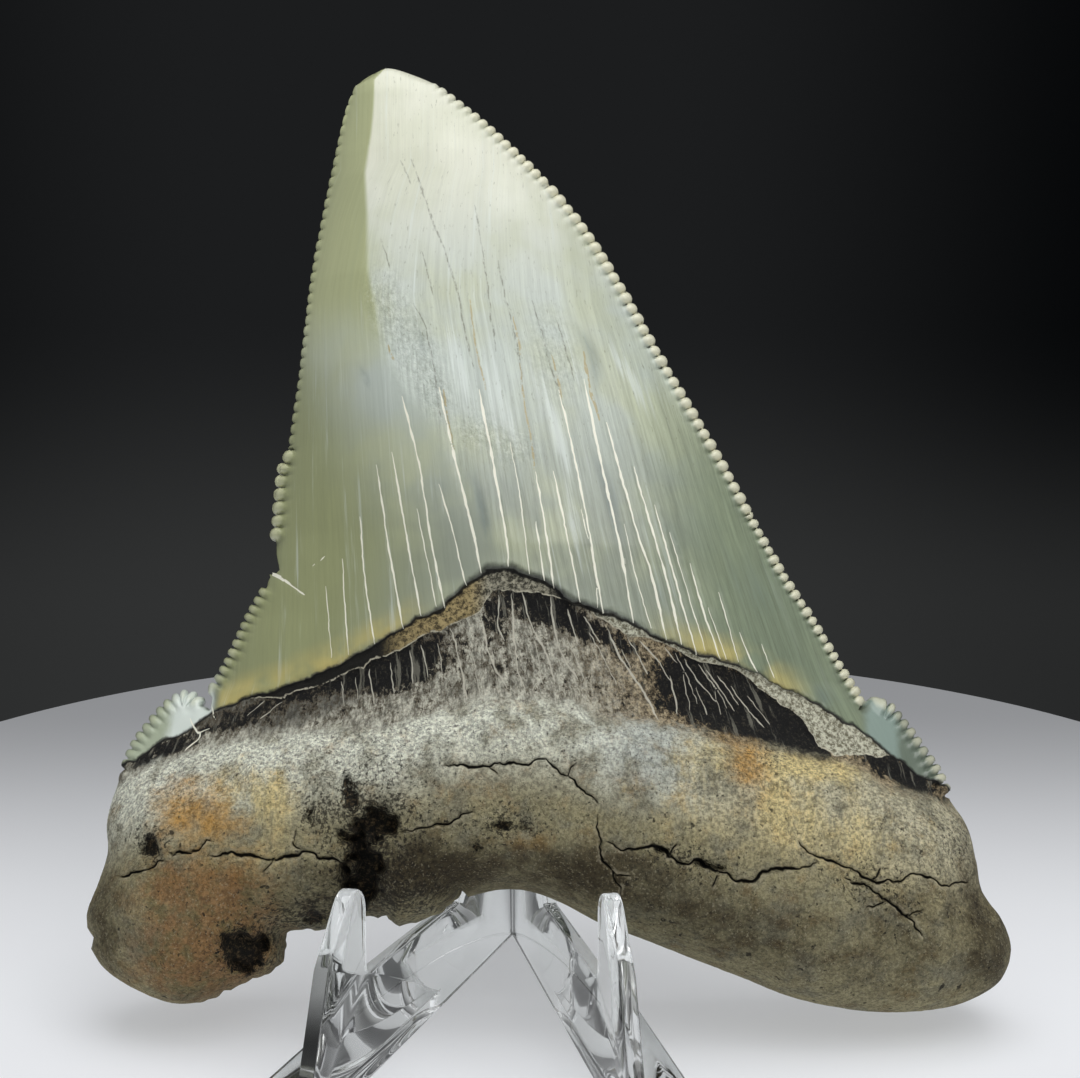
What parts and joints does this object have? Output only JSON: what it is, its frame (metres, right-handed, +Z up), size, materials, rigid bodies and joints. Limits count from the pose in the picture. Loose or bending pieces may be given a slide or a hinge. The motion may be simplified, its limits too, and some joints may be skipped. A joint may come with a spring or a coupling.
{
  "type": "fossil shark tooth",
  "caption": "Serrated fossil shark tooth with side cusplets and a heavy root, leaning on a small clear easel.",
  "frame": {"origin": "centre of the whole part's box in plan, at the table that the stand's feet rest on", "axes": "+X to the right as shown, +Y away from the viewer, +Z up"},
  "size_m": [0.0676, 0.044, 0.0709],
  "materials": {
    "fossil_tooth": null,
    "clear_acrylic": "clear polished acrylic plastic"
  },
  "bodies": {
    "root": {"tooth": "fossil_tooth", "stand": "clear_acrylic"}
  },
  "joints": []
}
